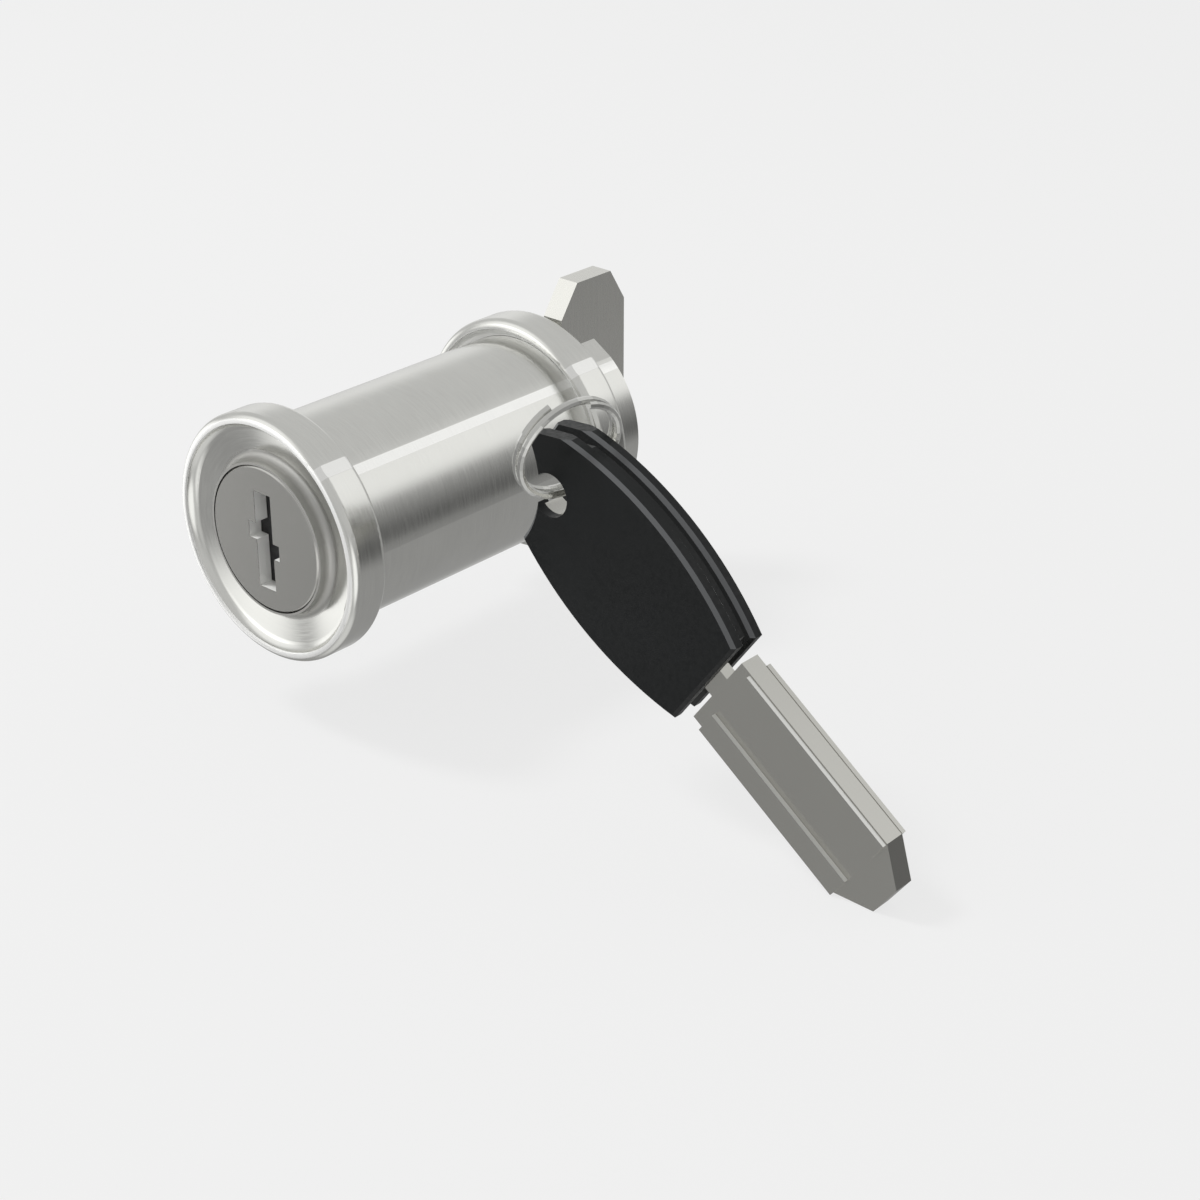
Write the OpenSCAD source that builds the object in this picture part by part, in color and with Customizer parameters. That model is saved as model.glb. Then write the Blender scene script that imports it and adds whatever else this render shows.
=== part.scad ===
// Push-button furniture lock with its key and key ring.
// The barrel's axis is +Y, from the flange to the bolt. +X is to the right seen from the front, +Z is up.
// The origin lies on the axis in the plane of the flange's back face, where the panel's front face comes.

/* [Barrel] */
// Outer radius of the barrel, which passes through the panel
barrel_r = 9; // [8.6:0.05:9.6]
// Wall of the barrel round the bore in which the button sleeve slides
barrel_wall = 1.95; // [1.8:0.05:2.1]
// Length of the barrel behind the panel's front face
barrel_len = 29.06; // [28:0.02:31]
// Width of the narrow index flat along the barrel
index_flat_w = 0.9; // [0.6:0.1:1.6]
// Angle of the index flat above the horizontal, in degrees
index_flat_angle = 46; // [30:1:60]

/* [Rosettes] */
// How far the front rosette and the rear collar stand outside the barrel
rosette_overhang = 1.66; // [1.4:0.02:2]
// Depth of a rosette from its back face to the crest of its rim
rosette_depth = 3.6; // [3.2:0.1:4.4]
// Radius of the rounded rim
rim_round = 0.7; // [0.5:0.05:0.8]
// Radius of the rosette's back edge
back_round = 0.55; // [0.2:0.05:0.7]
// Radius of the steep cove inside the rim
cove_r = 1; // [0.8:0.05:1.1]
// Radius of the small cove at the foot of the inner lip
cove_foot_r = 0.6; // [0.4:0.05:0.7]
// Depth of the dish at the foot of the inner lip, below the crest of the rim
dish_depth = 1.3; // [1.1:0.05:1.4]
// Width of the thin lip round the sleeve's nose
lip_w = 0.19; // [0.15:0.01:0.3]
// Length of the spigot that seats the front rosette in the barrel
spigot_len = 2; // [1:0.1:3]
// Wall of the barrel round that spigot
spigot_wall = 1.1; // [0.9:0.05:1.3]

/* [Button sleeve] */
// Step from the sleeve inside the barrel to its nose, which shows in the rosette
sleeve_step = 0.7; // [0.5:0.05:0.8]
// Wall of the sleeve round the plug
sleeve_wall = 1.4; // [1.35:0.01:1.5]
// Distance of the sleeve's shoulder behind the panel's front face
sleeve_shoulder_y = 7.2; // [7.1:0.1:8]
// Length of the tail fork's block in the sleeve's rear end
fork_block_len = 2.5; // [2.2:0.1:2.8]
// How far the button comes out when the lock is released
button_travel = 5; // [4:0.5:5]

/* [Plug and keyway] */
// Thickness of the plug's face cap
cap_t = 1.3; // [1:0.1:1.6]
// Chamfer round the cap's face
cap_chamfer = 0.12; // [0.05:0.01:0.2]
// How far the cap's face lies in front of the flange's back face
cap_face = 3.5; // [3.3:0.1:3.7]
// Width of the keyway
keyway_w = 2; // [1.9:0.05:2.2]
// Metal left in the plug above and below the keyway
keyway_wall = 1.35; // [1.2:0.05:1.6]
// Depth of the keyway from the cap's face
keyway_depth = 20.3; // [20.1:0.1:20.5]
// Number of wafers
wafer_count = 5; // [3:1:5]
// Thickness of one wafer
wafer_t = 0.9; // [0.7:0.05:1]
// Space behind the last wafer in the sleeve's recess
wafer_end_gap = 0.35; // [0.2:0.05:0.5]
// How far a wafer is drawn in by the key
wafer_lift = 0.55; // [0.4:0.05:0.6]

/* [Bolt] */
// Thickness of the bolt plate
bolt_t = 2.13; // [1.9:0.01:2.4]
// Front face of the bolt plate, behind the end of the barrel
bolt_setback = 1.94; // [1.8:0.02:2.2]
// Length of the bolt plate along the barrel
bolt_len = 8.43; // [8.3:0.01:9]
// Height of the bolt's tip above the axis when the lock is shut
bolt_top_z = 12.56; // [11.8:0.02:13]
// Height of the two slanted corners of the bolt
bolt_corner_h = 3; // [2:0.1:3.2]
// Length of the slanted front corner
bolt_front_corner = 2.1; // [1.5:0.1:2.4]
// Length of the slanted rear corner
bolt_rear_corner = 1.88; // [1.4:0.02:2.2]
// How far the bolt drops when the button is out
bolt_drop = 3.75; // [3:0.05:3.75]
// Radius of the drive pin in the bolt's slanted slot
drive_pin_r = 0.8; // [0.6:0.05:0.85]

/* [Rear cap] */
// Thickness of the rear cap
rear_cap_t = 3.28; // [2.9:0.02:3.6]
// Width of the cap's slot, which holds the bolt guide
cap_slot_w = 7.4; // [7:0.1:7.8]

/* [Key] */
// How much lower the key's blade is than the keyway
blade_play = 0.9; // [0.7:0.05:1.2]
// Thickness of the key's blade
blade_t = 1.87; // [1.7:0.01:1.9]
// Length of the blade from its shoulder to the tip
blade_len = 19.86; // [19:0.02:20]
// Length of the blade's slanted tip
blade_tip_len = 2.96; // [2.5:0.02:3.4]
// Total thickness of the key's head
head_t = 3.6; // [3.4:0.05:4.2]
// Thickness of the plate of one head shell
shell_t = 1.3; // [1.1:0.05:1.4]
// Half the head's width at its middle
head_half_w = 6.8; // [6.5:0.05:7.4]
// Radius of the head's two long sides
head_side_r = 29.4; // [27:0.1:33]
// Radius of the hole for the key ring
head_hole_r = 1.8; // [1.7:0.05:2]
// Chamfer along the edges of the head shells
head_chamfer = 0.28; // [0.1:0.02:0.35]

/* [Key ring] */
// Radius of the key ring at the middle of its wire
ring_r = 4.3; // [4.2:0.05:5]
// Radius of the ring's wire
ring_wire_r = 0.31; // [0.25:0.01:0.32]
// Number of turns of the split ring
ring_turns = 1.9; // [1.7:0.05:1.95]

/* [Hidden] */
$fn = 72;

nickel = [0.72, 0.71, 0.68];
steel = [0.6, 0.6, 0.6];
brass = [0.78, 0.65, 0.38];
black = [0.16, 0.16, 0.17];

// Clearances
seat_gap = 0.02;
run_gap = 0.05;
cut = 0.5;

// Barrel, bore and sleeve, from the outside inwards
barrel_bore_r = barrel_r - barrel_wall;
spigot_r = barrel_r - spigot_wall;
sleeve_r = barrel_bore_r - run_gap;
sleeve_nose_r = sleeve_r - sleeve_step;
plug_r = sleeve_r - sleeve_wall;
keyway_h = 2 * (plug_r - keyway_wall);
blade_w = keyway_h - blade_play;
rear_cap_r = barrel_r;
bolt_front_y = barrel_len + bolt_setback;

// Rosettes: the dish lies between the thin lip round the sleeve's nose and the rim
nose_gap = 0.06;
rosette_r = barrel_r + rosette_overhang;
rosette_bore_r = sleeve_nose_r + nose_gap;
rim_centre_r = rosette_r - rim_round;
rim_centre_y = -(rosette_depth - rim_round);
crest_w = 0.11;
lip_top_y = -(cap_face - 0.05);
cove_centre = [rim_centre_r - crest_w - cove_r, -rosette_depth - 0.15];
foot_centre = [rosette_bore_r + lip_w + cove_foot_r, -(rosette_depth - dish_depth) - cove_foot_r];

// Sleeve and plug
sleeve_front_y = -cap_face + cap_t + 0.03;
sleeve_bore_r = plug_r + run_gap;
cap_r = sleeve_nose_r - 0.02;
plug_end_y = -cap_face + keyway_depth + 0.4;
web_front_y = plug_end_y + run_gap;
web_t = 1.2;
rear_bore_r = sleeve_r - 2;
web_back_y = web_front_y + web_t;
tail_r = rear_bore_r - 2.05;
tail_bore_r = tail_r + run_gap;
recess_front_y = sleeve_shoulder_y + 0.1;
recess_back_y = plug_end_y - 0.5;
recess_margin = 0.3;

// Cam, clip and latch on the plug's tail
cam_y = web_back_y + 0.15;
cam_t = 1.8;
cam_flat_depth = 0.35;
cam_seat_r = tail_r - cam_flat_depth;
cam_high_r = rear_bore_r - 0.7;
latch_travel = 1.3;
clip_y = cam_y + cam_t + run_gap;
clip_t = 0.5;
clip_groove_r = cam_seat_r - 0.5;
clip_r = cam_seat_r + 1.1;
clip_gap_w = 3;
tail_end_y = clip_y + clip_t + 0.35;
latch_r = 1;
latch_y = cam_y + cam_t / 2;
latch_inner_z = cam_high_r + 0.15;
latch_outer_z = barrel_r - 0.8;
latch_window_depth = 0.1;

// Tail fork and drive pin
fork_block_y = tail_end_y + 0.2;
sleeve_end_y = fork_block_y + fork_block_len;
fork_arm_in = bolt_t / 2 + run_gap;
fork_arm_out = 2.6;
fork_top_z = 0;
fork_h = 3;
drive_pin_z = fork_top_z - fork_h / 2;
slot_margin = 0.9;
drive_pin_y = bolt_front_y + bolt_len - slot_margin - drive_pin_r;
fork_end_y = drive_pin_y + drive_pin_r + 0.2;
tail_pin_r = 0.6;
tail_pin_y = sleeve_end_y - 1.2;
tail_pin_z = 2.2;

// Guide screw and its slot in the sleeve
guide_screw_r = 1;
guide_screw_y = sleeve_end_y - 6;
guide_slot_r = sleeve_r - 0.9;
guide_thread_r = 1.25;

// Rear cap and bolt guide
cap_front_y = barrel_len;
cap_back_y = barrel_len + rear_cap_t;
guide_half_w = cap_slot_w / 2 - 0.03;
guide_floor_z = -(rear_cap_r - 1.6);
guide_top_z = 4.5;
guide_head_h = 1.5;
guide_base_z = -5.2;
guide_wall_y = bolt_front_y - run_gap;
guide_back_y = bolt_front_y + 4.2;
guide_rib_y = bolt_front_y + 2.6;
guide_rib_t = 1.2;
guide_rib_in = 0.5;
guide_rib_low_z = -4.6;
guide_rib_top_z = 2.75;
guide_pin_r = 0.6;
guide_pin_y = cap_front_y + 0.95;
guide_pin_half = rear_cap_r - 2.5;
guide_pin_zs = [guide_floor_z + 1.9, 3.2];
cap_screw_r = 0.6;
cap_screw_head_r = 0.85;
cap_screw_head_h = 0.8;
cap_screw_ring_r = rear_cap_r - 1.05;
cap_screw_len = 3.8;
cap_screw_angles = [135, 205, 335];
bolt_floor_z = drive_pin_z - drive_pin_r - 1;

// Return spring
spring_wire_r = 0.3;
spring_mean_r = sleeve_r - 0.9;
spring_turns = 5.5;

// Keyway and wafers
keyway_x = -0.05;
keyway_z = -0.15;
wafer_first_y = sleeve_shoulder_y + 0.7;
wafer_pitch = (recess_back_y - wafer_end_gap - wafer_t / 2 - wafer_first_y) / (wafer_count - 1);
wafer_half_w = 1.95;
wafer_bar = 0.75;
wafer_window_half = 1.15;
wafer_window_gap = 0.1;
wafer_reach = keyway_h / 2 - keyway_z + wafer_window_gap + wafer_lift + wafer_bar;
recess_r = wafer_reach + recess_margin;
wafer_spring_r = 0.34;
wafer_spring_wire_r = 0.11;
wafer_spring_turns = 4;
ear_out = 3.3;
ear_low_z = -1.7;
ear_h = 0.8;
ear_spring_x = 2.7;
ear_pocket_top_z = 2.35;
shutter_t = 0.3;
shutter_pivot_x = -2.2;
shutter_pivot_y = -cap_face + cap_t + 0.35;
shutter_knuckle_r = 0.3;
shutter_pivot_r = 0.2;
shutter_reach = 4;
shutter_gap = 0.05;

// Key: its own frame has the blade along +X from the shoulder, its width along Z and its face to -Y
key_pos = [38.65, 7.85, -3.97];
key_angle = 35.8;
head_end_x = -0.86;
head_mid_x = -11.3;
head_left_x = -23.75;
bite_x = -27.2;
bite_z = -5.16;
bite_r = 7.65;
hole_x = -19.75;
hole_z = -0.15;
lip_inset = 0.7;
pocket_gap = 0.04;
strip_start_x = 1.1;
strip_end_x = blade_len - blade_tip_len;
strip_h = 0.44;
strip_w = 2.09;
strip_inset = 0.1;
neck_w = 2.4;
neck_t = 1.2;
bow_half_w = 3.4;
bow_end_x = -20.6;

// Key ring: the way it lies in the head's hole, as turns about the key's own axes
ring_turn = [43, 66, 33];
ring_hole_turn = 162;

module rod_y(r, y0, y1) {
    translate([0, y0, 0]) rotate([-90, 0, 0]) cylinder(r = r, h = y1 - y0);
}

module rod_x(r, x0, x1) {
    translate([x0, 0, 0]) rotate([0, 90, 0]) cylinder(r = r, h = x1 - x0);
}

module block(from, to) {
    translate(from) cube(to - from);
}

// A turned shape: the profile's first number is a radius, its second a place along the axis
module turned() {
    rotate([-90, 0, 0]) rotate_extrude() children();
}

// Cuts a flat of the given width into a round of radius r, at an angle about the axis
module flat_cut(r, width, angle, y0, y1) {
    depth = r - sqrt(r * r - width * width / 4);
    rotate([0, -angle, 0]) block([r - depth, y0, -r], [r + 1, y1, r]);
}

// A round wire wound into a coil along +Z
module coil(mean_r, wire_r, turns, length, steps = 16, sides = 8) {
    n = floor(turns * steps);
    points = [
        for (i = [0:n], k = [0:sides - 1])
            let (a = 360 * i / steps, b = 360 * k / sides, ring = mean_r + wire_r * cos(b))
                [ring * cos(a), ring * sin(a), wire_r + (length - 2 * wire_r) * i / n + wire_r * sin(b)]
    ];
    sides_of_wire = [
        for (i = [0:n - 1], k = [0:sides - 1], half = [0, 1])
            let (m = (k + 1) % sides, a = i * sides, b = a + sides)
                half == 0 ? [a + k, a + m, b + m] : [a + k, b + m, b + k]
    ];
    start = [for (k = [sides - 1:-1:0]) k];
    end = [for (k = [0:sides - 1]) n * sides + k];
    polyhedron(points, concat([start], sides_of_wire, [end]), convexity = 10);
}

// What the dish cuts from the profile: two coves joined by the floor's straight line, which touches both
module dish_cut() {
    between = foot_centre - cove_centre;
    along = between / norm(between);
    across = [-along[1], along[0]] * (along[0] < 0 ? -1 : 1);
    lean = (cove_r - cove_foot_r) / norm(between);
    down = lean * along + sqrt(1 - lean * lean) * across;
    front_y = cove_centre[1] - 1;
    union() {
        translate(cove_centre) circle(r = cove_r);
        translate(foot_centre) circle(r = cove_foot_r);
        polygon([
            cove_centre + cove_r * down, foot_centre + cove_foot_r * down, foot_centre - [cove_foot_r, 0],
            [foot_centre[0] - cove_foot_r, front_y], [cove_centre[0] + cove_r, front_y],
            cove_centre + [cove_r, 0]
        ]);
    }
}

// The dished profile that the front rosette and the rear collar share
module rosette_profile(bore_r) {
    difference() {
        union() {
            translate([bore_r, -rosette_depth]) square([rim_centre_r - bore_r, rosette_depth]);
            translate([bore_r, rim_centre_y])
                square([rosette_r - bore_r, -rim_centre_y - back_round]);
            translate([bore_r, rim_centre_y])
                square([rosette_r - back_round - bore_r, -rim_centre_y]);
            translate([rim_centre_r, rim_centre_y]) circle(r = rim_round);
            translate([rosette_r - back_round, -back_round]) circle(r = back_round);
        }
        dish_cut();
        translate([0, lip_top_y - 2]) square([foot_centre[0], 2]);
    }
}

module housing_barrel() {
    color(nickel) difference() {
        rod_y(barrel_r, 0, barrel_len);
        rod_y(barrel_bore_r, -cut, barrel_len + cut);
        rod_y(spigot_r, -cut, spigot_len);
        flat_cut(barrel_r, index_flat_w, index_flat_angle, -cut, barrel_len + cut);
        block([-latch_r - 0.06, latch_y - button_travel - latch_r - 0.06, -latch_outer_z - latch_window_depth],
              [latch_r + 0.06, latch_y + latch_r + 0.06, -barrel_bore_r + 0.5]);
        translate([0, guide_screw_y, 0]) rod_x(guide_thread_r, -barrel_r - 1, -barrel_bore_r + 0.5);
        for (a = cap_screw_angles)
            rotate([0, -a, 0]) translate([cap_screw_ring_r, 0, 0])
                rod_y(cap_screw_r, barrel_len - cap_screw_len - 0.2, barrel_len + cut);
    }
}

module front_rosette() {
    color(nickel) difference() {
        union() {
            turned() rosette_profile(rosette_bore_r);
            turned() translate([rosette_bore_r, -0.2])
                square([spigot_r - seat_gap - rosette_bore_r, spigot_len + 0.2 - seat_gap]);
        }
        flat_cut(rosette_r, index_flat_w * 1.3, index_flat_angle + 2, -rosette_depth - 1, cut);
    }
}

module rear_collar() {
    color(nickel) translate([0, barrel_len, 0]) difference() {
        turned() rosette_profile(barrel_r + seat_gap);
        flat_cut(rosette_r, index_flat_w * 1.3, index_flat_angle + 2, -rosette_depth - 1, cut);
    }
}

module rear_cap() {
    facet_w = 2 * rear_cap_r * sin(7);
    color(nickel) difference() {
        rod_y(rear_cap_r, cap_front_y, cap_back_y);
        block([-cap_slot_w / 2, cap_front_y - cut, guide_floor_z - 0.03],
              [cap_slot_w / 2, cap_back_y + cut, rear_cap_r + 1]);
        flat_cut(rear_cap_r, facet_w, 58, cap_front_y - cut, cap_back_y + cut);
        for (z = guide_pin_zs)
            translate([0, guide_pin_y, z]) rod_x(guide_pin_r, -guide_pin_half, guide_pin_half);
        for (a = cap_screw_angles)
            rotate([0, -a, 0]) translate([cap_screw_ring_r, 0, 0]) {
                rod_y(cap_screw_r + 0.05, cap_front_y - cut, cap_back_y + cut);
                rod_y(cap_screw_head_r + 0.03, cap_back_y - cap_screw_head_h, cap_back_y + cut);
            }
    }
}

module cap_screws() {
    color(steel) for (a = cap_screw_angles)
        rotate([0, -a, 0]) translate([cap_screw_ring_r, 0, 0]) difference() {
            union() {
                rod_y(cap_screw_r - seat_gap, barrel_len - cap_screw_len, cap_back_y - cap_screw_head_h / 2);
                rod_y(cap_screw_head_r, cap_back_y - cap_screw_head_h + seat_gap, cap_back_y);
            }
            block([-1, cap_back_y - 0.35, -0.12], [1, cap_back_y + cut, 0.12]);
        }
}

module bolt_guide() {
    slot_half = bolt_t / 2 + run_gap;
    color(steel) difference() {
        union() {
            block([-guide_half_w, cap_front_y, guide_floor_z], [guide_half_w, cap_back_y, guide_top_z + guide_head_h]);
            block([-guide_half_w, cap_back_y - 0.1, guide_base_z], [guide_half_w, guide_back_y, guide_top_z]);
        }
        difference() {
            block([-slot_half, guide_wall_y, guide_floor_z - 1], [slot_half, guide_back_y + cut, guide_top_z + 3]);
            for (side = [-1, 1])
                translate([side * slot_half, guide_rib_y, 0])
                    block([-guide_rib_in, 0, guide_rib_low_z], [guide_rib_in, guide_rib_t, guide_rib_top_z]);
        }
        block([-fork_arm_out - 0.06, cap_front_y - cut, fork_top_z - fork_h - 0.06],
              [fork_arm_out + 0.06, guide_back_y + cut, fork_top_z + 0.06]);
        for (z = guide_pin_zs)
            translate([0, guide_pin_y, z]) rod_x(guide_pin_r, -guide_pin_half, guide_pin_half);
    }
}

module guide_pins() {
    color(steel) for (z = guide_pin_zs)
        translate([0, guide_pin_y, z])
            rod_x(guide_pin_r - seat_gap, -guide_pin_half + 0.1, guide_pin_half - 0.1);
}

module guide_screw() {
    color(steel) translate([0, guide_screw_y, 0]) difference() {
        union() {
            rod_x(guide_thread_r - seat_gap, -barrel_r + 0.3, -barrel_bore_r - 0.1);
            rod_x(guide_screw_r, -barrel_bore_r - 0.2, -guide_slot_r - 0.1);
        }
        block([-barrel_r, -1.4, -0.18], [-barrel_r + 0.9, 1.4, 0.18]);
    }
}

module button_sleeve() {
    color(nickel) difference() {
        union() {
            rod_y(sleeve_nose_r, sleeve_front_y, sleeve_shoulder_y + 0.1);
            rod_y(sleeve_r, sleeve_shoulder_y, sleeve_end_y);
        }
        rod_y(sleeve_bore_r, sleeve_front_y - cut, web_front_y);
        rod_y(recess_r, recess_front_y, recess_back_y);
        rod_y(tail_bore_r, web_front_y - cut, web_back_y + cut);
        rod_y(rear_bore_r, web_back_y, sleeve_end_y + cut);
        translate([0, latch_y, 0]) rotate([180, 0, 0]) cylinder(r = latch_r + run_gap, h = sleeve_r + 1);
        block([-sleeve_r - 1, guide_screw_y - guide_screw_r - 0.1, -guide_screw_r - run_gap],
              [-guide_slot_r, sleeve_end_y + cut, guide_screw_r + run_gap]);
        translate([0, tail_pin_y, tail_pin_z]) rod_x(tail_pin_r, -sleeve_r - 1, sleeve_r + 1);
    }
}

module tail_fork() {
    color(steel) difference() {
        union() {
            rod_y(rear_bore_r - seat_gap, fork_block_y, sleeve_end_y + 0.4);
            for (side = [-1, 1])
                block([side > 0 ? fork_arm_in : -fork_arm_out, sleeve_end_y, fork_top_z - fork_h],
                      [side > 0 ? fork_arm_out : -fork_arm_in, fork_end_y, fork_top_z]);
        }
        translate([0, tail_pin_y, tail_pin_z]) rod_x(tail_pin_r, -sleeve_r, sleeve_r);
        translate([0, drive_pin_y, drive_pin_z]) rod_x(drive_pin_r, -4, 4);
    }
}

module tail_pin() {
    half = sqrt(pow(sleeve_r, 2) - pow(tail_pin_z + tail_pin_r, 2)) - 0.05;
    color(steel) translate([0, tail_pin_y, tail_pin_z]) rod_x(tail_pin_r - seat_gap, -half, half);
}

module drive_pin() {
    color(steel) translate([0, drive_pin_y, drive_pin_z])
        rod_x(drive_pin_r - seat_gap, -fork_arm_out, fork_arm_out);
}

module return_spring() {
    color(steel) translate([0, sleeve_end_y + 0.05, 0]) rotate([-90, 0, 0])
        coil(spring_mean_r, spring_wire_r, spring_turns, cap_front_y - sleeve_end_y - 0.1, 20, 8);
}

module latch_pin() {
    color(steel) translate([0, latch_y, -latch_outer_z]) difference() {
        cylinder(r = latch_r, h = latch_outer_z - latch_inner_z);
        difference() {
            translate([0, 0, -cut]) cylinder(r = latch_r + 1, h = cut + 0.3);
            translate([0, 0, 0]) cylinder(r1 = latch_r - 0.3, r2 = latch_r, h = 0.3);
        }
    }
}

// The keyway's section, with its two guiding notches
module keyway(y0, y1) {
    translate([keyway_x, y0, keyway_z]) {
        block([-keyway_w / 2, 0, -keyway_h / 2], [keyway_w / 2, y1 - y0, keyway_h / 2]);
        block([-1.85, 0, -0.1], [0, y1 - y0, 1.4]);
        block([0, 0, -1.35], [1.7, y1 - y0, 0.05]);
    }
}

module wafer_slot(y) {
    gap_y = wafer_t / 2 + run_gap;
    block([-wafer_half_w - run_gap, y - gap_y, -plug_r - 1], [wafer_half_w + run_gap, y + gap_y, plug_r + 1]);
    block([0, y - gap_y, ear_low_z - run_gap], [ear_out + 0.1, y + gap_y, ear_pocket_top_z]);
}

module plug() {
    color(nickel) difference() {
        union() {
            rod_y(cap_r, -cap_face + cap_chamfer, -cap_face + cap_t);
            translate([0, -cap_face, 0]) rotate([-90, 0, 0])
                cylinder(r1 = cap_r - cap_chamfer, r2 = cap_r, h = cap_chamfer + 0.001);
            rod_y(plug_r, -cap_face + cap_t - 0.1, plug_end_y);
            rod_y(tail_r, plug_end_y - 0.1, cam_y);
            rod_y(cam_seat_r, cam_y - 0.1, tail_end_y);
        }
        keyway(-cap_face - cut, -cap_face + keyway_depth);
        block([shutter_pivot_x - 0.35, -cap_face + cap_t, keyway_z - keyway_h / 2 - 0.1],
              [shutter_pivot_x + shutter_reach + 0.15, -cap_face + cap_t + shutter_reach + 0.4,
               keyway_z + keyway_h / 2 + 0.1]);
        translate([shutter_pivot_x, shutter_pivot_y, keyway_z - keyway_h / 2 - 0.5])
            cylinder(r = shutter_pivot_r + run_gap, h = keyway_h + 1);
        for (i = [0:wafer_count - 1]) wafer_slot(wafer_first_y + i * wafer_pitch);
        difference() {
            rod_y(cam_seat_r + 1, clip_y, clip_y + clip_t + 0.04);
            rod_y(clip_groove_r, clip_y - cut, clip_y + clip_t + cut);
        }
        block([cam_seat_r - cam_flat_depth, cam_y, -tail_r], [tail_r + 1, tail_end_y + cut, tail_r]);
    }
}

// Radius of the cam at an angle from the latch's side: it falls by the latch's travel over a quarter turn
function cam_radius(a) =
    a < 0 ? cam_high_r : a <= 90 ? cam_high_r - latch_travel * a / 90 : cam_high_r - latch_travel;

module plug_cam() {
    step = 6;
    outline = [for (a = [-30:step:240]) cam_radius(a) * [sin(a), -cos(a)]];
    color(brass) difference() {
        translate([0, cam_y + run_gap, 0]) rotate([90, 0, 0]) mirror([0, 0, 1])
            linear_extrude(height = cam_t - run_gap) polygon(outline);
        difference() {
            rod_y(cam_seat_r + seat_gap, cam_y - cut, cam_y + cam_t + cut);
            block([cam_seat_r - cam_flat_depth + seat_gap, cam_y - cut, -cam_high_r],
                  [cam_high_r, cam_y + cam_t + cut, cam_high_r]);
        }
    }
}

module plug_clip() {
    color(steel) difference() {
        rod_y(clip_r, clip_y + seat_gap, clip_y + clip_t);
        rod_y(clip_groove_r + seat_gap, clip_y - cut, clip_y + clip_t + cut);
        block([-clip_gap_w / 2, clip_y - cut, 0], [clip_gap_w / 2, clip_y + clip_t + cut, clip_r + 1]);
    }
}

module dust_shutter() {
    low_z = keyway_z - keyway_h / 2 - shutter_gap;
    high_z = keyway_z + keyway_h / 2 + shutter_gap;
    color(black) {
        translate([shutter_pivot_x, shutter_pivot_y, low_z])
            cylinder(r = shutter_knuckle_r, h = high_z - low_z);
        translate([shutter_pivot_x, shutter_pivot_y, low_z - 0.35])
            cylinder(r = shutter_pivot_r, h = high_z - low_z + 0.7);
        block([shutter_pivot_x, shutter_pivot_y - shutter_knuckle_r, low_z],
              [shutter_pivot_x + shutter_reach, shutter_pivot_y - shutter_knuckle_r + shutter_t, high_z]);
    }
}

// One wafer, drawn where its spring holds it: pushed out below the plug
module wafer(index) {
    y = wafer_first_y + (index - 1) * wafer_pitch;
    window_low = keyway_z - keyway_h / 2 - wafer_window_gap - wafer_lift;
    window_high = keyway_z + keyway_h / 2 + wafer_window_gap - wafer_lift;
    color(brass) difference() {
        union() {
            block([-wafer_half_w, y - wafer_t / 2, window_low - wafer_bar],
                  [wafer_half_w, y + wafer_t / 2, window_high + wafer_bar]);
            block([0, y - wafer_t / 2, ear_low_z], [ear_out, y + wafer_t / 2, ear_low_z + ear_h]);
        }
        block([-wafer_window_half + keyway_x, y - wafer_t, window_low],
              [wafer_window_half + keyway_x, y + wafer_t, window_high]);
        for (side = [-1, 1])
            translate([side * wafer_half_w, y, window_low - wafer_bar]) rotate([0, 45, 0])
                cube([0.9, 2, 0.9], center = true);
    }
}

module wafer_springs() {
    color(steel) for (i = [0:wafer_count - 1])
        translate([ear_spring_x, wafer_first_y + i * wafer_pitch, ear_low_z + ear_h + 0.02])
            coil(wafer_spring_r, wafer_spring_wire_r, wafer_spring_turns, ear_pocket_top_z - ear_low_z - ear_h - 0.04, 9, 4);
}

module bolt() {
    back_y = bolt_front_y + bolt_len;
    corner_z = bolt_top_z - bolt_corner_h;
    slot_front = [drive_pin_y - button_travel, drive_pin_z + bolt_drop];
    slot_len = norm([button_travel, bolt_drop]);
    slot_angle = atan2(bolt_drop, button_travel);
    slot_r = drive_pin_r + run_gap;
    color(nickel) difference() {
        translate([-bolt_t / 2, 0, 0]) rotate([90, 0, 90]) linear_extrude(height = bolt_t) difference() {
            polygon([
                [bolt_front_y, bolt_floor_z], [back_y, bolt_floor_z], [back_y, corner_z],
                [back_y - bolt_rear_corner, bolt_top_z], [bolt_front_y + bolt_front_corner, bolt_top_z],
                [bolt_front_y, corner_z]
            ]);
        }
        translate([0, drive_pin_y, drive_pin_z]) rod_x(slot_r, -4, 4);
        translate([0, slot_front[0], slot_front[1]]) rod_x(slot_r, -4, 4);
        translate([0, drive_pin_y, drive_pin_z]) rotate([-slot_angle, 0, 0])
            block([-4, -slot_len, -slot_r], [4, 0, slot_r]);
        for (side = [-1, 1])
            translate([side * bolt_t / 2, guide_rib_y + guide_rib_t / 2, 0])
                block([-guide_rib_in, -guide_rib_t / 2 - run_gap, bolt_floor_z - 1],
                      [guide_rib_in, guide_rib_t / 2 + run_gap, guide_rib_top_z + bolt_drop + 0.1]);
    }
}

module on_key() {
    translate(key_pos) rotate([0, key_angle, 0]) children();
}

// The flat bow and neck that the head shells hold, larger all round by gap
module key_bow(gap) {
    union() {
        translate([bow_end_x + bow_half_w, 0]) circle(r = bow_half_w + gap);
        translate([bow_end_x + bow_half_w, -bow_half_w - gap])
            square([head_end_x - 1 + gap - bow_end_x - bow_half_w, 2 * (bow_half_w + gap)]);
    }
}

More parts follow.
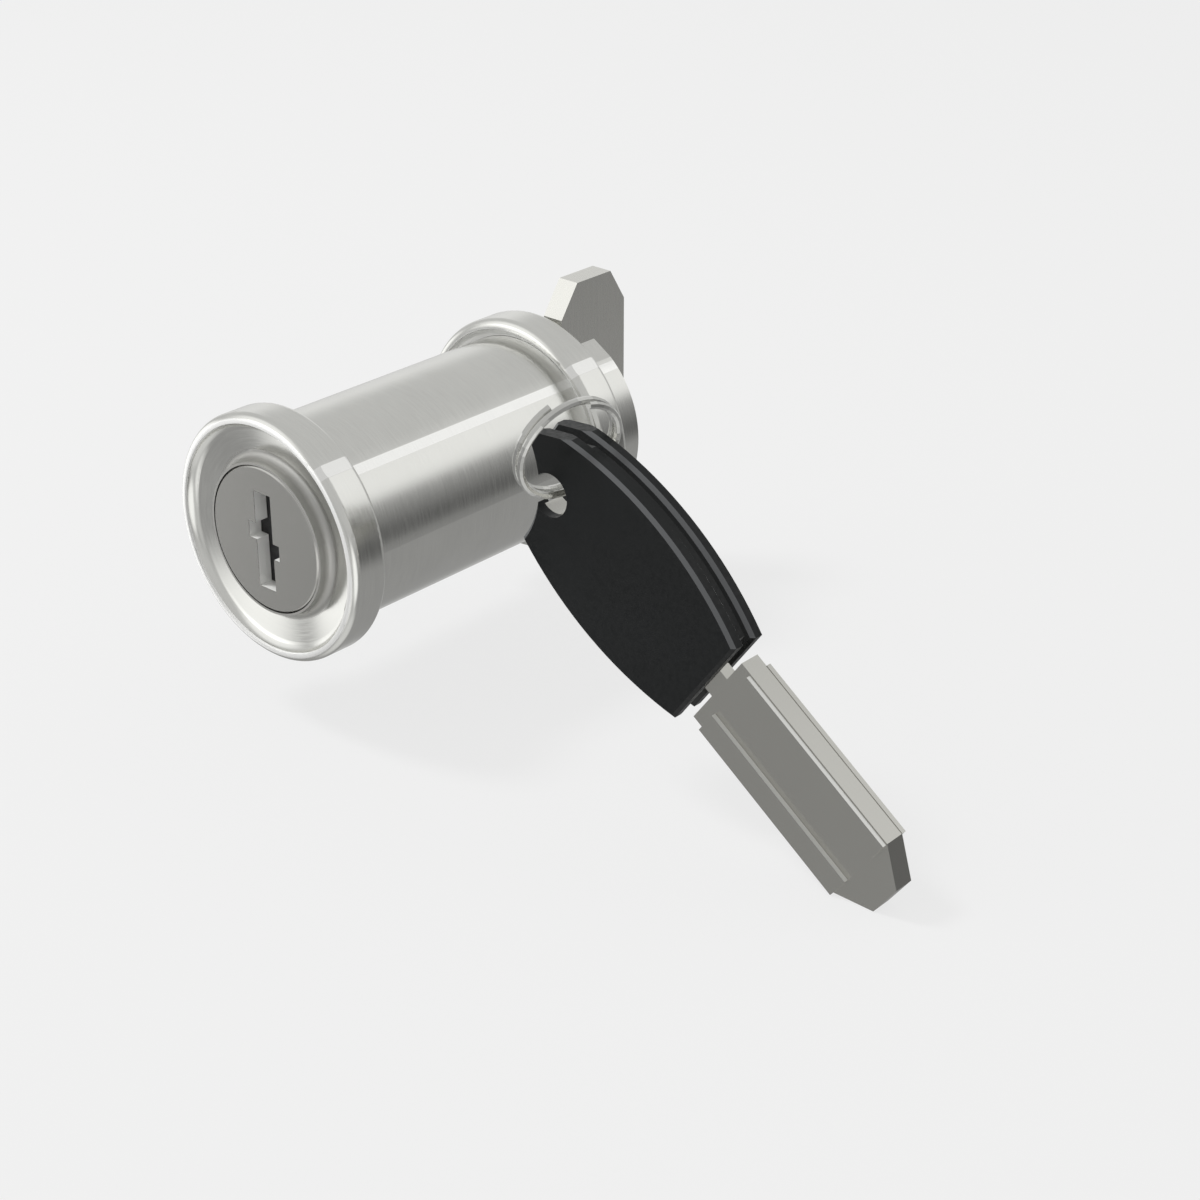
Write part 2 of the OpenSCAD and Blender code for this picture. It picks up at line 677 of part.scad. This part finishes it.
module key_blade() {
    half_w = blade_w / 2;
    half_t = blade_t / 2;
    color(nickel) on_key() difference() {
        union() {
            translate([0, half_t, 0]) rotate([90, 0, 0]) linear_extrude(height = blade_t) union() {
                polygon([
                    [0, -half_w], [strip_end_x, -half_w], [blade_len, -half_w + 2.07],
                    [blade_len, half_w - 2.3], [strip_end_x, half_w], [0, half_w]
                ]);
                key_bow(0);
            }
            block([head_end_x - 1.2, -neck_t / 2, -neck_w / 2], [0.2, neck_t / 2, neck_w / 2]);
            block([strip_start_x, -half_t - strip_h, -half_w], [strip_end_x, 0, -half_w + strip_w]);
            block([strip_start_x, -half_t - strip_h, half_w - strip_inset - strip_w],
                  [strip_end_x, 0, half_w - strip_inset]);
            block([strip_start_x, 0, half_w - strip_w], [strip_end_x, half_t + strip_h - 0.04, half_w - 0.02]);
            block([strip_start_x, half_t - 0.02, half_w - 0.1],
                  [strip_end_x, half_t + strip_h - 0.04, half_w + 0.05]);
        }
        translate([hole_x, 0, hole_z]) rod_y(head_hole_r, -head_t, head_t);
    }
}

// A disc with chamfered edges, for the long sides of a head shell
module side_disc(z, inset, y0, y1, chamfer) {
    r = head_side_r - inset;
    translate([head_mid_x, 0, z]) turned() polygon([
        [0, y0], [r - chamfer, y0], [r, y0 + chamfer], [r, y1 - chamfer], [r - chamfer, y1], [0, y1]
    ]);
}

// The plate of one head shell, narrower all round by inset
module head_plate(inset, y0, y1, chamfer) {
    offset_z = head_side_r - head_half_w;
    end_x = head_end_x - inset;
    left_x = head_left_x + inset;
    difference() {
        intersection() {
            side_disc(-offset_z, inset, y0, y1, chamfer);
            side_disc(offset_z, inset, y0, y1, chamfer);
            translate([0, 0, -10]) linear_extrude(height = 20) polygon([
                [left_x, y0 + chamfer], [left_x + chamfer, y0], [end_x - chamfer, y0], [end_x, y0 + chamfer],
                [end_x, y1 - chamfer], [end_x - chamfer, y1], [left_x + chamfer, y1], [left_x, y1 - chamfer]
            ]);
        }
        translate([bite_x, 0, bite_z]) rod_y(bite_r + inset, y0 - cut, y1 + cut);
        translate([bite_x, 0, bite_z]) turned() polygon([
            [0, y0 - cut], [bite_r + inset + chamfer + cut, y0 - cut], [bite_r + inset, y0 + chamfer], [0, y0 + chamfer]
        ]);
        translate([left_x, 0, 2.9 - inset]) rotate([0, -39.6, 0]) block([-4, y0 - cut, 0], [6, y1 + cut, 5]);
    }
}

// One head shell: side is -1 for the front one and 1 for the back one
module head_shell(side) {
    outer_y = side * head_t / 2;
    inner_y = side * (head_t / 2 - shell_t);
    low_y = min(outer_y, inner_y);
    high_y = max(outer_y, inner_y);
    color(black) on_key() difference() {
        union() {
            head_plate(0, low_y, high_y, head_chamfer);
            head_plate(lip_inset, min(inner_y, 0) - (side > 0 ? 0 : 0.1), max(inner_y, 0) + (side > 0 ? 0.1 : 0), 0);
        }
        translate([hole_x, 0, hole_z]) rod_y(head_hole_r, -head_t, head_t);
        translate([0, blade_t / 2 + pocket_gap, 0]) rotate([90, 0, 0])
            linear_extrude(height = blade_t + 2 * pocket_gap) key_bow(pocket_gap);
        block([head_end_x - 1.3, -neck_t / 2 - pocket_gap, -neck_w / 2 - pocket_gap],
              [head_end_x + 1, neck_t / 2 + pocket_gap, neck_w / 2 + pocket_gap]);
    }
}

module key_head_front() {
    head_shell(-1);
}

module key_head_back() {
    head_shell(1);
}

module key_ring() {
    length = ring_turns * (2 * ring_wire_r + 0.02) + 2 * ring_wire_r;
    color(nickel) on_key() translate([hole_x, 0, hole_z]) rotate(ring_turn)
        translate([-ring_r, 0, 0]) rotate([0, 0, -ring_hole_turn]) translate([0, 0, -length / 2])
            coil(ring_r, ring_wire_r, ring_turns, length, 40, 8);
}

housing_barrel();
front_rosette();
rear_collar();
rear_cap();
cap_screws();
bolt_guide();
guide_pins();
guide_screw();
button_sleeve();
tail_fork();
tail_pin();
drive_pin();
return_spring();
latch_pin();
plug();
plug_cam();
plug_clip();
dust_shutter();
wafer(1);  // wafer_1
wafer(2);  // wafer_2
wafer(3);  // wafer_3
wafer(4);  // wafer_4
wafer(5);  // wafer_5
wafer_springs();
bolt();
key_blade();
key_head_front();
key_head_back();
key_ring();
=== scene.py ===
"""Push-button furniture lock with its key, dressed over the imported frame.

The lock's axis is y, its front faces -y and z is up. Lengths are in metres, angles in degrees.
"""
import math

import bpy
from mathutils import Matrix, Vector


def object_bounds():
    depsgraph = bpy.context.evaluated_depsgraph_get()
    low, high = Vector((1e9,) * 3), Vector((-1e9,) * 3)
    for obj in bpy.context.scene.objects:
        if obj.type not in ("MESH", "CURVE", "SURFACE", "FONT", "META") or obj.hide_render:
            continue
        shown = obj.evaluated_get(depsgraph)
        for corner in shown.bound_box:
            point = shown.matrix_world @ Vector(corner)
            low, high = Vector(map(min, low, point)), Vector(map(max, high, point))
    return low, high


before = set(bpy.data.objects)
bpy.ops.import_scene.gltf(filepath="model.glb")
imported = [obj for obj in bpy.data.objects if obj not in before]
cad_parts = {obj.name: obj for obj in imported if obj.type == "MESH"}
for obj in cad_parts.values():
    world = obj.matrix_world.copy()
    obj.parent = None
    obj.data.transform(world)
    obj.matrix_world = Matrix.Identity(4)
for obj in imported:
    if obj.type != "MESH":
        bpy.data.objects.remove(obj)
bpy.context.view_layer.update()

MM = 0.001

# The photograph's view: a long lens from the front right, above the lock
CAMERA_PLACE = Vector((132.767, -112.567, 80.386)) * MM
CAMERA_AZIMUTH = 41.53
CAMERA_ELEVATION = 26.829
CAMERA_LENS = 69.66
CAMERA_CLIP_START = 5.0 * MM
SENSOR_WIDTH = 36.0

# Places on the lock, the same as in the model
PLUG_FACE_Y = -3.5 * MM
PLUG_CAP_T = 1.3 * MM
KEYWAY_REACH = 5.3 * MM
CREST_INNER_R = 9.71 * MM
CREST_OUTER_R = 10.24 * MM
CREST_BACK_Y = -3.41 * MM
GROOVE_OUTER_R = 7.275 * MM
COLLAR_DISH_R = 9.9 * MM
BLADE_FACE_Y = 6.915 * MM
KEY_ANGLE = 35.8

# The narrow flat along the lock, where a highlight is painted: its two edges as angles round the axis, and
# the radius where it starts
BARREL_FLAT = (43.2, 48.6, 8.5 * MM)
FLANGE_FLAT = (45.0, 51.0, 10.0 * MM)

# The studio's lights. Each has a direction from the lock, the angle up to which it is full, the angle
# where it ends, and how much it adds to the light from there.
STUDIO_LIGHTS = {
    "dark_horizon": ((0.735, 0.67, -0.01), 3, 25, -0.31),
    "right_panel": ((0.52, 0.67, 0.53), 9, 22, 0.44),
    "right_low_panel": ((0.75, -0.50, -0.43), 12, 30, 0.90),
    "left_window": ((-0.72, 0.67, -0.20), 8, 40, 0.32),
    "left_low_panel": ((-0.93, -0.15, -0.34), 16, 28, 0.95),
    "front_panel": ((-0.59, -0.60, 0.54), 12, 36, 0.50),
    "front_middle_panel": ((-0.55, -0.83, 0.08), 12, 26, 0.85),
    "front_low_panel": ((0.20, -0.87, -0.45), 10, 30, 0.28),
    "floor_patch": ((-0.10, -0.77, -0.63), 6, 18, 0.50),
    "floor_glare": ((0.10, -0.20, -0.97), 12, 35, 0.45),
}
LIGHT_BELOW = 0.36
LIGHT_ABOVE = 0.66
LIGHT_LEAST = 0.06

# The floor lies just under the part
FLOOR_GAP = 0.05 * MM
FLOOR_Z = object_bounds()[0][2] - FLOOR_GAP
FLOOR_HALF = 2.0
FLOOR_GLOW_SHARE = 0.78

# The lamp gives the floor its faint shadow
LAMP_PLACE = (-0.25, -0.15, 0.45)
LAMP_AIM = (0.015, 0.012, 0.0)
LAMP_POWER = 1.6
LAMP_SIZE = 0.12

# Colours are linear
BACKDROP = (0.863, 0.863, 0.863, 1.0)
STUDIO_WHITE = (1.0, 1.0, 0.99, 1.0)
FLOOR_GREY = (0.5, 0.5, 0.5, 1.0)
FLOOR_GLOW = (0.955, 0.955, 0.955, 1.0)
NICKEL = (0.71, 0.71, 0.685, 1.0)
# A painted highlight on the narrow flat along the lock
FLAT_HIGHLIGHT = (0.87, 0.87, 0.855, 1.0)
BOLT_NICKEL = (0.76, 0.755, 0.72, 1.0)
KEY_NICKEL = (0.53, 0.525, 0.495, 1.0)
PLUG_NICKEL = (0.48, 0.476, 0.456, 1.0)
# Painted shade in the groove round the plug
GROOVE_SHADE = (0.46, 0.457, 0.44, 1.0)
# A painted highlight on the front rim's crest and in the rear collar's dish
PALE_HIGHLIGHT = (0.95, 0.95, 0.94, 1.0)
# Painted light on the keyway's walls, which lie in shade
WALL_LIGHT = (0.90, 0.90, 0.88, 1.0)
# A painted highlight on the up-facing walls of the blade's strips
STRIP_HIGHLIGHT = (0.68, 0.68, 0.66, 1.0)
RING_STEEL = (0.62, 0.62, 0.60, 1.0)
STEEL = (0.56, 0.57, 0.58, 1.0)
BRASS = (0.72, 0.52, 0.22, 1.0)
HEAD_BLACK = (0.0035, 0.0045, 0.005, 1.0)
# A painted highlight on the head's chamfers that face up
HEAD_CHAMFER_HIGHLIGHT = (0.105, 0.108, 0.112, 1.0)
SHUTTER_BLACK = (0.008, 0.008, 0.009, 1.0)

# The patterns on the surfaces: how fine each is, and how far it is drawn out
TURNED_SCALE = 900.0
TURNED_ACROSS = 9.0
TURNED_ALONG = 0.004
BRUSHED_SCALE = 5200.0
BRUSHED_ALONG = 0.05
GRAIN_SCALE = 6500.0
CLOUD_SCALE = 240.0
CLOUD_SHARE = 0.35
PLASTIC_GRAIN_SCALE = 2600.0
PLASTIC_CLOUD_SCALE = 130.0

# How high the grain stands, and how much it changes the plastic
METAL_GRAIN_HEIGHT = 0.02 * MM
PLASTIC_GRAIN_HEIGHT = 0.03 * MM
PLASTIC_GRAIN_STRENGTH = 0.12
PLASTIC_ROUGH_SPREAD = 0.08


class Graph:
    """A small helper that adds and links shader nodes."""

    def __init__(self, tree):
        self.nodes = tree.nodes
        self.links = tree.links

    def add(self, kind, **settings):
        made = self.nodes.new(kind)
        for name, value in settings.items():
            setattr(made, name, value)
        return made

    def link(self, source, target):
        self.links.new(source, target)

    def put(self, socket, value):
        """Links a socket to another, or sets its value."""
        if isinstance(value, bpy.types.NodeSocket):
            self.links.new(value, socket)
        else:
            socket.default_value = value

    def math(self, operation, first, second=0.0):
        made = self.add("ShaderNodeMath", operation=operation)
        self.put(made.inputs[0], first)
        self.put(made.inputs[1], second)
        return made.outputs[0]

    def product(self, first, *others):
        total = first
        for other in others:
            total = self.math("MULTIPLY", total, other)
        return total

    def dot(self, vector, constant):
        made = self.add("ShaderNodeVectorMath", operation="DOT_PRODUCT")
        self.link(vector, made.inputs[0])
        made.inputs[1].default_value = constant
        return made.outputs["Value"]

    def band(self, value, low, high, bottom=0.0, top=1.0):
        """Smooth step of value from low to high, scaled to bottom..top."""
        made = self.add("ShaderNodeMapRange", interpolation_type="SMOOTHSTEP")
        self.put(made.inputs["Value"], value)
        for name, number in (("From Min", low), ("From Max", high), ("To Min", bottom), ("To Max", top)):
            self.put(made.inputs[name], number)
        return made.outputs["Result"]

    def above(self, value, place, blur):
        """One above a place and zero below it, blurred to both sides."""
        return self.band(value, place - blur, place + blur)

    def below(self, value, place, blur):
        """One below a place and zero above it, blurred to both sides."""
        return self.band(value, place - blur, place + blur, 1.0, 0.0)

    def object_place(self):
        return self.add("ShaderNodeTexCoord").outputs["Object"]

    def object_normal(self):
        return self.add("ShaderNodeTexCoord").outputs["Normal"]

    def split(self, vector):
        made = self.add("ShaderNodeSeparateXYZ")
        self.link(vector, made.inputs[0])
        return made.outputs

    def join(self, x, y, z):
        made = self.add("ShaderNodeCombineXYZ")
        for socket, value in zip(made.inputs, (x, y, z)):
            self.put(socket, value)
        return made.outputs[0]

    def noise(self, vector, scale, detail=3.0, roughness=0.5):
        made = self.add("ShaderNodeTexNoise")
        self.link(vector, made.inputs["Vector"])
        made.inputs["Scale"].default_value = scale
        made.inputs["Detail"].default_value = detail
        made.inputs["Roughness"].default_value = roughness
        return made.outputs["Fac"]

    def mix_colour(self, factor, first, second):
        made = self.add("ShaderNodeMix", data_type="RGBA")
        self.put(made.inputs["Factor"], factor)
        self.put(made.inputs[6], first)
        self.put(made.inputs[7], second)
        return made.outputs[2]

    def bump(self, height, strength, distance):
        made = self.add("ShaderNodeBump")
        made.inputs["Strength"].default_value = strength
        made.inputs["Distance"].default_value = distance
        self.link(height, made.inputs["Height"])
        return made.outputs["Normal"]


def new_material(name):
    made = bpy.data.materials.new(name)
    made.use_nodes = True
    graph = Graph(made.node_tree)
    shader = made.node_tree.nodes["Principled BSDF"]
    return made, graph, shader


def scaled(colour, factor):
    return (colour[0] * factor, colour[1] * factor, colour[2] * factor, 1.0)


def axis_radius(graph, x, z):
    squares = graph.math("ADD", graph.math("MULTIPLY", x, x), graph.math("MULTIPLY", z, z))
    return graph.math("SQRT", squares)


# Each mask below is one on its part of the surface and zero elsewhere

def index_flat_highlight(graph, low, high, from_radius):
    """The narrow flat that runs along the lock, between two angles and outside a radius, where a highlight
    is painted.
    """
    x, y, z = graph.split(graph.object_place())
    angle = graph.math("MULTIPLY", graph.math("ARCTAN2", z, x), 180.0 / math.pi)
    over_low = graph.above(angle, low, 0.25)
    under_high = graph.below(angle, high, 0.25)
    outside = graph.above(axis_radius(graph, x, z), from_radius, 0.1 * MM)
    return graph.product(over_low, under_high, outside)


def barrel_flat_highlight(graph):
    return index_flat_highlight(graph, *BARREL_FLAT)


def flange_flat_highlight(graph):
    return index_flat_highlight(graph, *FLANGE_FLAT)


def rim_crest_highlight(graph):
    """The crest of the front flange's rim, where a highlight is painted."""
    x, y, z = graph.split(graph.object_place())
    radius = axis_radius(graph, x, z)
    outside = graph.above(radius, CREST_INNER_R, 0.05 * MM)
    inside = graph.below(radius, CREST_OUTER_R, 0.08 * MM)
    return graph.product(outside, inside, graph.below(y, CREST_BACK_Y, 0.05 * MM))


def dish_groove_shade(graph):
    """The groove round the plug, where shade is painted."""
    x, y, z = graph.split(graph.object_place())
    return graph.below(axis_radius(graph, x, z), GROOVE_OUTER_R, 0.175 * MM)


def collar_dish_highlight(graph):
    """The inside of the rear collar's dish, and all that is nearer the axis, where a highlight is painted.
    """
    x, y, z = graph.split(graph.object_place())
    return graph.below(axis_radius(graph, x, z), COLLAR_DISH_R, 0.2 * MM)


def keyway_wall_light(graph):
    """The walls that the keyway has in the plug's cap, where light is painted."""
    x, y, z = graph.split(graph.object_place())
    behind = graph.above(y, PLUG_FACE_Y + 0.035 * MM, 0.025 * MM)
    in_cap = graph.below(y, PLUG_FACE_Y + PLUG_CAP_T, 0.1 * MM)
    inside = graph.below(axis_radius(graph, x, z), KEYWAY_REACH, 0.1 * MM)
    return graph.product(behind, in_cap, inside)


def strip_wall_highlight(graph):
    """The walls of the blade's near strips that face up, where a highlight is painted."""
    lean = math.radians(KEY_ANGLE)
    facing = graph.dot(graph.object_normal(), (math.sin(lean), 0.0, math.cos(lean)))
    y = graph.split(graph.object_place())[1]
    return graph.product(graph.band(facing, 0.8, 0.95), graph.below(y, BLADE_FACE_Y - 0.03 * MM, 0.03 * MM))


def upper_chamfer_highlight(graph):
    """The head's chamfered edges that face up, where a highlight is painted."""
    x, y, z = graph.split(graph.object_normal())
    lean = graph.math("ABSOLUTE", y)
    chamfer = graph.product(graph.band(lean, 0.3, 0.5), graph.band(lean, 0.88, 0.97, 1.0, 0.0))
    return graph.product(chamfer, graph.band(z, 0.0, 0.4))


def turned_lines(graph):
    """Rings round the axis, as a turning tool leaves them."""
    x, y, z = graph.split(graph.object_place())
    radius = axis_radius(graph, x, z)
    angle = graph.math("ARCTAN2", z, x)
    drawn = graph.join(
        graph.math("MULTIPLY", radius, TURNED_ACROSS),
        graph.math("MULTIPLY", y, TURNED_ACROSS),
        graph.math("MULTIPLY", angle, TURNED_ALONG),
    )
    return graph.noise(drawn, TURNED_SCALE, 4.0, 0.6)


def upright_lines(graph):
    """Lines up and down, as a brush leaves them."""
    x, y, z = graph.split(graph.object_place())
    drawn = graph.join(x, y, graph.math("MULTIPLY", z, BRUSHED_ALONG))
    return graph.noise(drawn, BRUSHED_SCALE, 3.0, 0.6)


def fine_grain(graph):
    """An even grain without a direction."""
    return graph.noise(graph.object_place(), GRAIN_SCALE, 4.0, 0.6)


def metal(name, colour, rough, lines, shade, rough_spread, relief, patches=()):
    """Brushed metal.

    Lines is the pattern that the tool left, and shade, rough_spread and relief say how much it changes
    the colour, the roughness and the height. Each patch has a mask, a colour, how metallic it is there,
    and how much duller.
    """
    made, graph, shader = new_material(name)
    pattern = lines(graph)
    cloud = graph.noise(graph.object_place(), CLOUD_SCALE, 3.0, 0.55)
    tone = graph.math(
        "ADD",
        graph.math("MULTIPLY", pattern, 1.0 - CLOUD_SHARE),
        graph.math("MULTIPLY", cloud, CLOUD_SHARE),
    )
    base = graph.mix_colour(
        graph.band(tone, 0.34, 0.66),
        scaled(colour, 1.0 - shade),
        scaled(colour, 1.0 + shade),
    )
    roughness = graph.band(pattern, 0.3, 0.7, rough - rough_spread, rough + rough_spread)
    metallic = 1.0
    for mask_of, patch_colour, patch_metallic, duller in patches:
        mask = mask_of(graph)
        base = graph.mix_colour(mask, base, patch_colour)
        if patch_metallic < 1.0:
            metallic = graph.math("SUBTRACT", metallic, graph.math("MULTIPLY", mask, 1.0 - patch_metallic))
        if duller > 0.0:
            roughness = graph.math("ADD", roughness, graph.math("MULTIPLY", mask, duller))
    graph.link(base, shader.inputs["Base Color"])
    graph.put(shader.inputs["Metallic"], metallic)
    graph.link(roughness, shader.inputs["Roughness"])
    graph.link(graph.bump(pattern, relief, METAL_GRAIN_HEIGHT), shader.inputs["Normal"])
    return made


def plastic(name, colour, rough, specular, chamfer_highlight=None):
    """Moulded plastic, with a highlight painted on its up-facing chamfered edges if a highlight colour is
    given.
    """
    made, graph, shader = new_material(name)
    fine = graph.noise(graph.object_place(), PLASTIC_GRAIN_SCALE, 4.0, 0.6)
    cloud = graph.noise(graph.object_place(), PLASTIC_CLOUD_SCALE, 3.0, 0.5)
    base = graph.mix_colour(graph.band(cloud, 0.35, 0.65), scaled(colour, 0.9), scaled(colour, 1.12))
    # painted highlight on the up-facing chamfers
    if chamfer_highlight:
        base = graph.mix_colour(upper_chamfer_highlight(graph), base, chamfer_highlight)
    roughness = graph.band(fine, 0.3, 0.7, rough - PLASTIC_ROUGH_SPREAD, rough + PLASTIC_ROUGH_SPREAD)
    relief = graph.bump(fine, PLASTIC_GRAIN_STRENGTH, PLASTIC_GRAIN_HEIGHT)
    shader.inputs["Specular IOR Level"].default_value = specular
    graph.link(base, shader.inputs["Base Color"])
    graph.link(roughness, shader.inputs["Roughness"])
    graph.link(relief, shader.inputs["Normal"])
    return made


def finishes():
    """The finish of each node that isn't plain inner steel."""
    barrel_nickel = metal("barrel_nickel", NICKEL, 0.21, turned_lines, 0.03, 0.03, 0.03, [
        # painted highlight on the narrow flat
        (barrel_flat_highlight, FLAT_HIGHLIGHT, 1.0, 0.0),
    ])
    rosette_nickel = metal("rosette_nickel", NICKEL, 0.19, turned_lines, 0.03, 0.03, 0.03, [
        (flange_flat_highlight, FLAT_HIGHLIGHT, 1.0, 0.0),
        # painted highlight on the rim's crest
        (rim_crest_highlight, PALE_HIGHLIGHT, 0.2, 0.0),
        # painted shade in the groove round the plug, which is also duller
        (dish_groove_shade, GROOVE_SHADE, 1.0, 0.25),
    ])
    collar_nickel = metal("collar_nickel", NICKEL, 0.19, turned_lines, 0.03, 0.03, 0.03, [
        (flange_flat_highlight, FLAT_HIGHLIGHT, 1.0, 0.0),
        # painted highlight in the rear collar's dish
        (collar_dish_highlight, PALE_HIGHLIGHT, 0.3, 0.0),
    ])
    plug_nickel = metal("plug_nickel", PLUG_NICKEL, 0.25, fine_grain, 0.01, 0.02, 0.004, [
        # painted light on the keyway's walls
        (keyway_wall_light, WALL_LIGHT, 0.2, 0.0),
    ])
    key_nickel = metal("key_nickel", KEY_NICKEL, 0.26, fine_grain, 0.01, 0.0, 0.0, [
        # painted highlight on the strips' up-facing walls
        (strip_wall_highlight, STRIP_HIGHLIGHT, 0.45, 0.0),
    ])
    bolt_nickel = metal("bolt_nickel", BOLT_NICKEL, 0.28, upright_lines, 0.01, 0.015, 0.002)
    ring_steel = metal("ring_steel", RING_STEEL, 0.17, fine_grain, 0.02, 0.02, 0.004)
    brass = metal("wafer_brass", BRASS, 0.34, fine_grain, 0.06, 0.06, 0.06)
    head_black = plastic("head_black", HEAD_BLACK, 0.4, 0.26, chamfer_highlight=HEAD_CHAMFER_HIGHLIGHT)
    shutter_black = plastic("shutter_black", SHUTTER_BLACK, 0.6, 0.5)
    return {
        "housing_barrel": barrel_nickel,
        "rear_cap": barrel_nickel,
        "button_sleeve": barrel_nickel,
        "front_rosette": rosette_nickel,
        "rear_collar": collar_nickel,
        "plug": plug_nickel,
        "bolt": bolt_nickel,
        "key_blade": key_nickel,
        "key_ring": ring_steel,
        "key_head_front": head_black,
        "key_head_back": head_black,
        "dust_shutter": shutter_black,
        "plug_cam": brass,
        "wafer_1": brass,
        "wafer_2": brass,
        "wafer_3": brass,
        "wafer_4": brass,
        "wafer_5": brass,
    }


def dress():
    inner_steel = metal("inner_steel", STEEL, 0.32, fine_grain, 0.06, 0.06, 0.06)
    finish_of = finishes()
    for name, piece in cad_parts.items():
        for slot in piece.material_slots:
            slot.material = finish_of.get(name, inner_steel)
    # The photograph shows no mirror image of the black head in the flange beside it
    for name in ("key_head_front", "key_head_back"):
        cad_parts[name].visible_glossy = False


def world_light():
    """A studio round the lock: paler above than below, with a dark horizon and soft bright panels."""
    world = bpy.data.worlds.new("studio")
    bpy.context.scene.world = world
    world.use_nodes = True
    graph = Graph(world.node_tree)
    graph.nodes.clear()
    output = graph.add("ShaderNodeOutputWorld")
    direction = graph.add("ShaderNodeTexCoord").outputs["Generated"]
    height = graph.split(direction)[2]
    light = graph.band(height, -0.35, 0.30, LIGHT_BELOW, LIGHT_ABOVE)
    for towards, full, end, change in STUDIO_LIGHTS.values():
        nearness = graph.dot(direction, Vector(towards).normalized())
        patch = graph.band(nearness, math.cos(math.radians(end)), math.cos(math.radians(full)))
        light = graph.math("ADD", light, graph.math("MULTIPLY", patch, change))
    light = graph.math("MAXIMUM", light, LIGHT_LEAST)

    seen = graph.add("ShaderNodeBackground")
    seen.inputs["Color"].default_value = BACKDROP
    felt = graph.add("ShaderNodeBackground")
    felt.inputs["Color"].default_value = STUDIO_WHITE
    graph.link(light, felt.inputs["Strength"])
    choose = graph.add("ShaderNodeMixShader")
    graph.link(graph.add("ShaderNodeLightPath").outputs["Is Camera Ray"], choose.inputs[0])
    graph.link(felt.outputs[0], choose.inputs[1])
    graph.link(seen.outputs[0], choose.inputs[2])
    graph.link(choose.outputs[0], output.inputs["Surface"])


def floor():
    """A pale floor that shows the backdrop's colour and a faint shadow, and isn't seen in the metal."""
    mesh = bpy.data.meshes.new("floor")
    corners = [(x * FLOOR_HALF, y * FLOOR_HALF, FLOOR_Z) for x, y in ((-1, -1), (1, -1), (1, 1), (-1, 1))]
    mesh.from_pydata(corners, [], [(0, 1, 2, 3)])
    made = bpy.data.objects.new("floor", mesh)
    bpy.context.collection.objects.link(made)
    material, graph, shader = new_material("floor_pale")
    shader.inputs["Base Color"].default_value = FLOOR_GREY
    shader.inputs["Roughness"].default_value = 1.0
    shader.inputs["Specular IOR Level"].default_value = 0.0
    glow = graph.add("ShaderNodeEmission")
    glow.inputs["Color"].default_value = FLOOR_GLOW
    path = graph.add("ShaderNodeLightPath")
    lit = graph.add("ShaderNodeMixShader")
    graph.link(graph.math("MULTIPLY", path.outputs["Is Camera Ray"], FLOOR_GLOW_SHARE), lit.inputs[0])
    graph.link(shader.outputs[0], lit.inputs[1])
    graph.link(glow.outputs[0], lit.inputs[2])
    unseen = graph.add("ShaderNodeMixShader")
    graph.link(path.outputs["Is Glossy Ray"], unseen.inputs[0])
    graph.link(lit.outputs[0], unseen.inputs[1])
    graph.link(graph.add("ShaderNodeBsdfTransparent").outputs[0], unseen.inputs[2])
    graph.link(unseen.outputs[0], graph.nodes["Material Output"].inputs["Surface"])
    mesh.materials.append(material)


def lamp():
    """A small soft lamp above the front left, which the metal doesn't mirror."""
    light = bpy.data.lights.new("key_light", "AREA")
    light.shape = "DISK"
    light.size = LAMP_SIZE
    light.energy = LAMP_POWER
    made = bpy.data.objects.new("key_light", light)
    bpy.context.collection.objects.link(made)
    made.location = LAMP_PLACE
    away = Vector(LAMP_PLACE) - Vector(LAMP_AIM)
    made.rotation_euler = away.to_track_quat("Z", "Y").to_euler()
    made.visible_glossy = False


def camera():
    azimuth = math.radians(CAMERA_AZIMUTH)
    elevation = math.radians(CAMERA_ELEVATION)
    back = Vector((
        math.sin(azimuth) * math.cos(elevation),
        -math.cos(azimuth) * math.cos(elevation),
        math.sin(elevation),
    ))
    right = Vector((math.cos(azimuth), math.sin(azimuth), 0.0))
    up = back.cross(right)
    lens = bpy.data.cameras.new("camera")
    lens.lens = CAMERA_LENS
    lens.sensor_width = SENSOR_WIDTH
    lens.clip_start = CAMERA_CLIP_START
    made = bpy.data.objects.new("camera", lens)
    bpy.context.collection.objects.link(made)
    turn = Matrix((right, up, back)).transposed().to_4x4()
    made.matrix_world = Matrix.Translation(CAMERA_PLACE) @ turn
    bpy.context.scene.camera = made


dress()
world_light()
floor()
lamp()
camera()
bpy.context.scene.view_settings.view_transform = "Standard"
